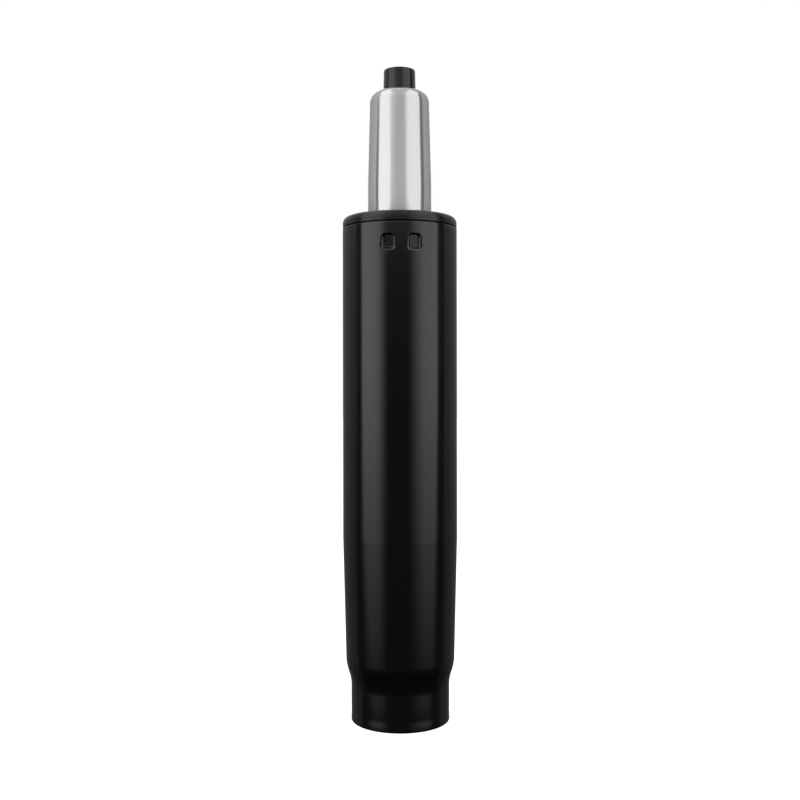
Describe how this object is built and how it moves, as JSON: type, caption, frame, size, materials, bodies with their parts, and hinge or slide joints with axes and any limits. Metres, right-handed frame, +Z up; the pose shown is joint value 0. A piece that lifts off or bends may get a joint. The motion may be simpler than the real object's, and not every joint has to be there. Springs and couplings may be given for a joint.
{
  "type": "chair gas lift cylinder",
  "caption": "Gas lift for a swivel chair: a bright gas column with a release button slides in a black tapered stand tube and turns on a thrust bearing in its foot",
  "frame": {"origin": "centre of the stand tube's lower rim, on the plane that the lift stands on", "axes": "+Z up along the column, front towards -Y with the front pair of crimps either side of it, X to the right seen from the front"},
  "size_m": [0.05, 0.05, 0.2842],
  "materials": {
    "black_powder_coat": "semi-gloss black powder coat",
    "black_plastic": "satin moulded black plastic",
    "button_plastic": "satin black plastic",
    "bright_steel": "ground and polished bright steel",
    "polished_steel": "polished steel",
    "hardened_steel": "fine ground hardened steel",
    "zinc_plated_steel": "bright zinc plating",
    "aluminium": "turned aluminium",
    "brass": "turned brass",
    "rubber": "matt black rubber",
    "white_plastic": "natural white plastic"
  },
  "bodies": {
    "outer_column": {"outer_tube": "black_powder_coat", "guide_bush": "black_plastic", "base_plate": "zinc_plated_steel", "lower_race": "hardened_steel"},
    "bearing_cage": {"ball_cage": "zinc_plated_steel", "bearing_balls": "polished_steel"},
    "piston_rod_group": {"piston_rod": "polished_steel", "upper_race": "hardened_steel", "thrust_washer": "hardened_steel", "bumper_ring": "rubber", "clip_washer": "zinc_plated_steel", "retaining_clip": "hardened_steel", "piston_stop_washer": "hardened_steel", "piston": "aluminium", "piston_seal": "rubber", "piston_top_washer": "hardened_steel", "piston_nut": "zinc_plated_steel"},
    "gas_cylinder": {"pressure_tube": "bright_steel", "inner_tube": "hardened_steel", "rod_guide": "aluminium", "rod_seal": "rubber", "seal_washer": "white_plastic", "end_washer": "hardened_steel", "valve_housing": "aluminium", "valve_spacer": "white_plastic", "pin_seals": "rubber", "housing_seal": "rubber", "valve_retainer": "zinc_plated_steel"},
    "release_valve": {"release_button": "button_plastic", "valve_pin": "brass"}
  },
  "joints": [
    {"name": "rod_swivel", "type": "hinge", "parent": "outer_column", "child": "piston_rod_group", "pos_m": [0, 0, 0.00912], "axis": [0, 0, 1], "continuous": true},
    {"name": "cage_spin", "type": "hinge", "parent": "outer_column", "child": "bearing_cage", "pos_m": [0, 0, 0.00912], "axis": [0, 0, 1], "continuous": true},
    {"name": "height_slide", "type": "slide", "parent": "piston_rod_group", "child": "gas_cylinder", "axis": [0, 0, 1], "range_m": [0, 0.1]},
    {"name": "button_press", "type": "slide", "parent": "gas_cylinder", "child": "release_valve", "axis": [0, 0, -1], "range_m": [0, 0.005], "stiffness_N_per_m": 6000, "springref_m": -0.01}
  ],
  "couplings": [
    {"joint": "cage_spin", "follows": "rod_swivel", "ratio": 0.5}
  ]
}
